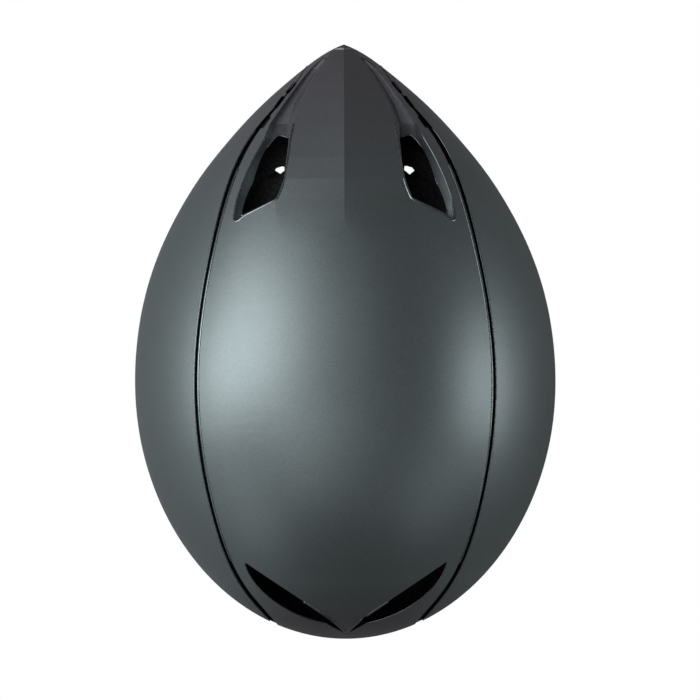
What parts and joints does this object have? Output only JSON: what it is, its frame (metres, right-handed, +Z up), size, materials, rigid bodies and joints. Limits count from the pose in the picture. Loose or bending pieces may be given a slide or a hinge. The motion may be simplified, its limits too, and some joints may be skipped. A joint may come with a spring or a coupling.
{
  "type": "aero time trial helmet",
  "caption": "Short-tailed aero time trial helmet with brow and rear vents, grooved side panels, a ridged tail, a dial fit system, and straps with a side-release buckle.",
  "frame": {"origin": "centre of the head opening at the widest station, level with the side rims", "axes": "+Z up through the crown, +Y to the tail, +X to the wearer's left, who faces -Y"},
  "size_m": [0.212, 0.299, 0.2747],
  "materials": {
    "shell_paint": "satin metallic paint, clear coated",
    "side_paint": "satin metallic paint, clear coated",
    "foam": "moulded bead foam",
    "trim": "matte",
    "padding": "knitted cover over soft foam",
    "webbing": "woven polyester",
    "moulding": "fine grained",
    "bands": "smooth nylon",
    "dial_grip": "soft touch",
    "metal": "plated"
  },
  "bodies": {
    "helmet": {"crown_shell": "shell_paint", "side_shell_right": "side_paint", "side_shell_left": "side_paint", "tail_underpanel": "side_paint", "rim_trim": "trim", "foam_liner": "foam", "brow_pad": "padding", "crown_pad_left": "padding", "crown_pad_right": "padding", "side_pad_left": "padding", "side_pad_right": "padding", "front_strap_anchors": "moulding", "rear_strap_anchors": "moulding", "front_strap_right": "webbing", "front_strap_left": "webbing", "rear_strap_right": "webbing", "rear_strap_left": "webbing", "chin_strap_right": "webbing", "chin_strap_left": "webbing", "strap_divider_right": "moulding", "strap_divider_left": "moulding", "lever_pin_right": "metal", "lever_pin_left": "metal", "buckle_socket": "moulding", "temple_sockets": "moulding"},
    "fit_arms": {"band_right": "bands", "band_left": "bands", "temple_pins": "bands"},
    "nape_cradle": {"cradle": "moulding", "cradle_cover": "moulding", "cover_screws": "metal", "click_spring": "metal", "cradle_pad_right": "padding", "cradle_pad_left": "padding"},
    "dial": {"dial_knob": "dial_grip", "dial_pinion": "bands", "dial_screw": "metal"},
    "right_rack": {"rack_right": "bands"},
    "left_rack": {"rack_left": "bands"},
    "right_lever": {"divider_lever_right": "moulding"},
    "left_lever": {"divider_lever_left": "moulding"},
    "plug": {"buckle_plug": "moulding", "buckle_prongs": "moulding"},
    "keeper": {"strap_keeper": "dial_grip"}
  },
  "joints": [
    {"name": "cradle_height", "type": "hinge", "parent": "helmet", "child": "fit_arms", "pos_m": [0, -0.036, 0.048], "axis": [1, 0, 0], "range_deg": [-3, 3]},
    {"name": "cradle_slide", "type": "slide", "parent": "fit_arms", "child": "nape_cradle", "axis": [0, 1, 0], "range_m": [-0.0075, 0.0075], "deforming": ["band_right", "band_left"]},
    {"name": "dial_turn", "type": "hinge", "parent": "nape_cradle", "child": "dial", "pos_m": [0, 0.11, 0], "axis": [0, 1, 0], "range_deg": [-86, 86]},
    {"name": "rack_left_slide", "type": "slide", "parent": "nape_cradle", "child": "left_rack", "axis": [1, 0, 0], "range_m": [-0.0075, 0.0075]},
    {"name": "rack_right_slide", "type": "slide", "parent": "nape_cradle", "child": "right_rack", "axis": [-1, 0, 0], "range_m": [-0.0075, 0.0075]},
    {"name": "lever_left_open", "type": "hinge", "parent": "helmet", "child": "left_lever", "pos_m": [0.0785, -0.006, -0.0295], "axis": [0, -1, 0], "range_deg": [0, 80]},
    {"name": "lever_right_open", "type": "hinge", "parent": "helmet", "child": "right_lever", "pos_m": [-0.0785, -0.006, -0.0295], "axis": [0, 1, 0], "range_deg": [0, 80]},
    {"name": "buckle_release", "type": "slide", "parent": "helmet", "child": "plug", "axis": [-0.6638, -0.4149, -0.6223], "range_m": [0, 0.022], "deforming": ["chin_strap_right", "buckle_prongs"]},
    {"name": "keeper_slide", "type": "slide", "parent": "helmet", "child": "keeper", "axis": [-0.574, -0.4175, -0.7045], "range_m": [-0.006, 0.004]}
  ],
  "couplings": [
    {"joint": "dial_turn", "follows": "cradle_slide", "rad_per_m": 200},
    {"joint": "rack_left_slide", "follows": "cradle_slide", "ratio": 1},
    {"joint": "rack_right_slide", "follows": "cradle_slide", "ratio": 1}
  ]
}
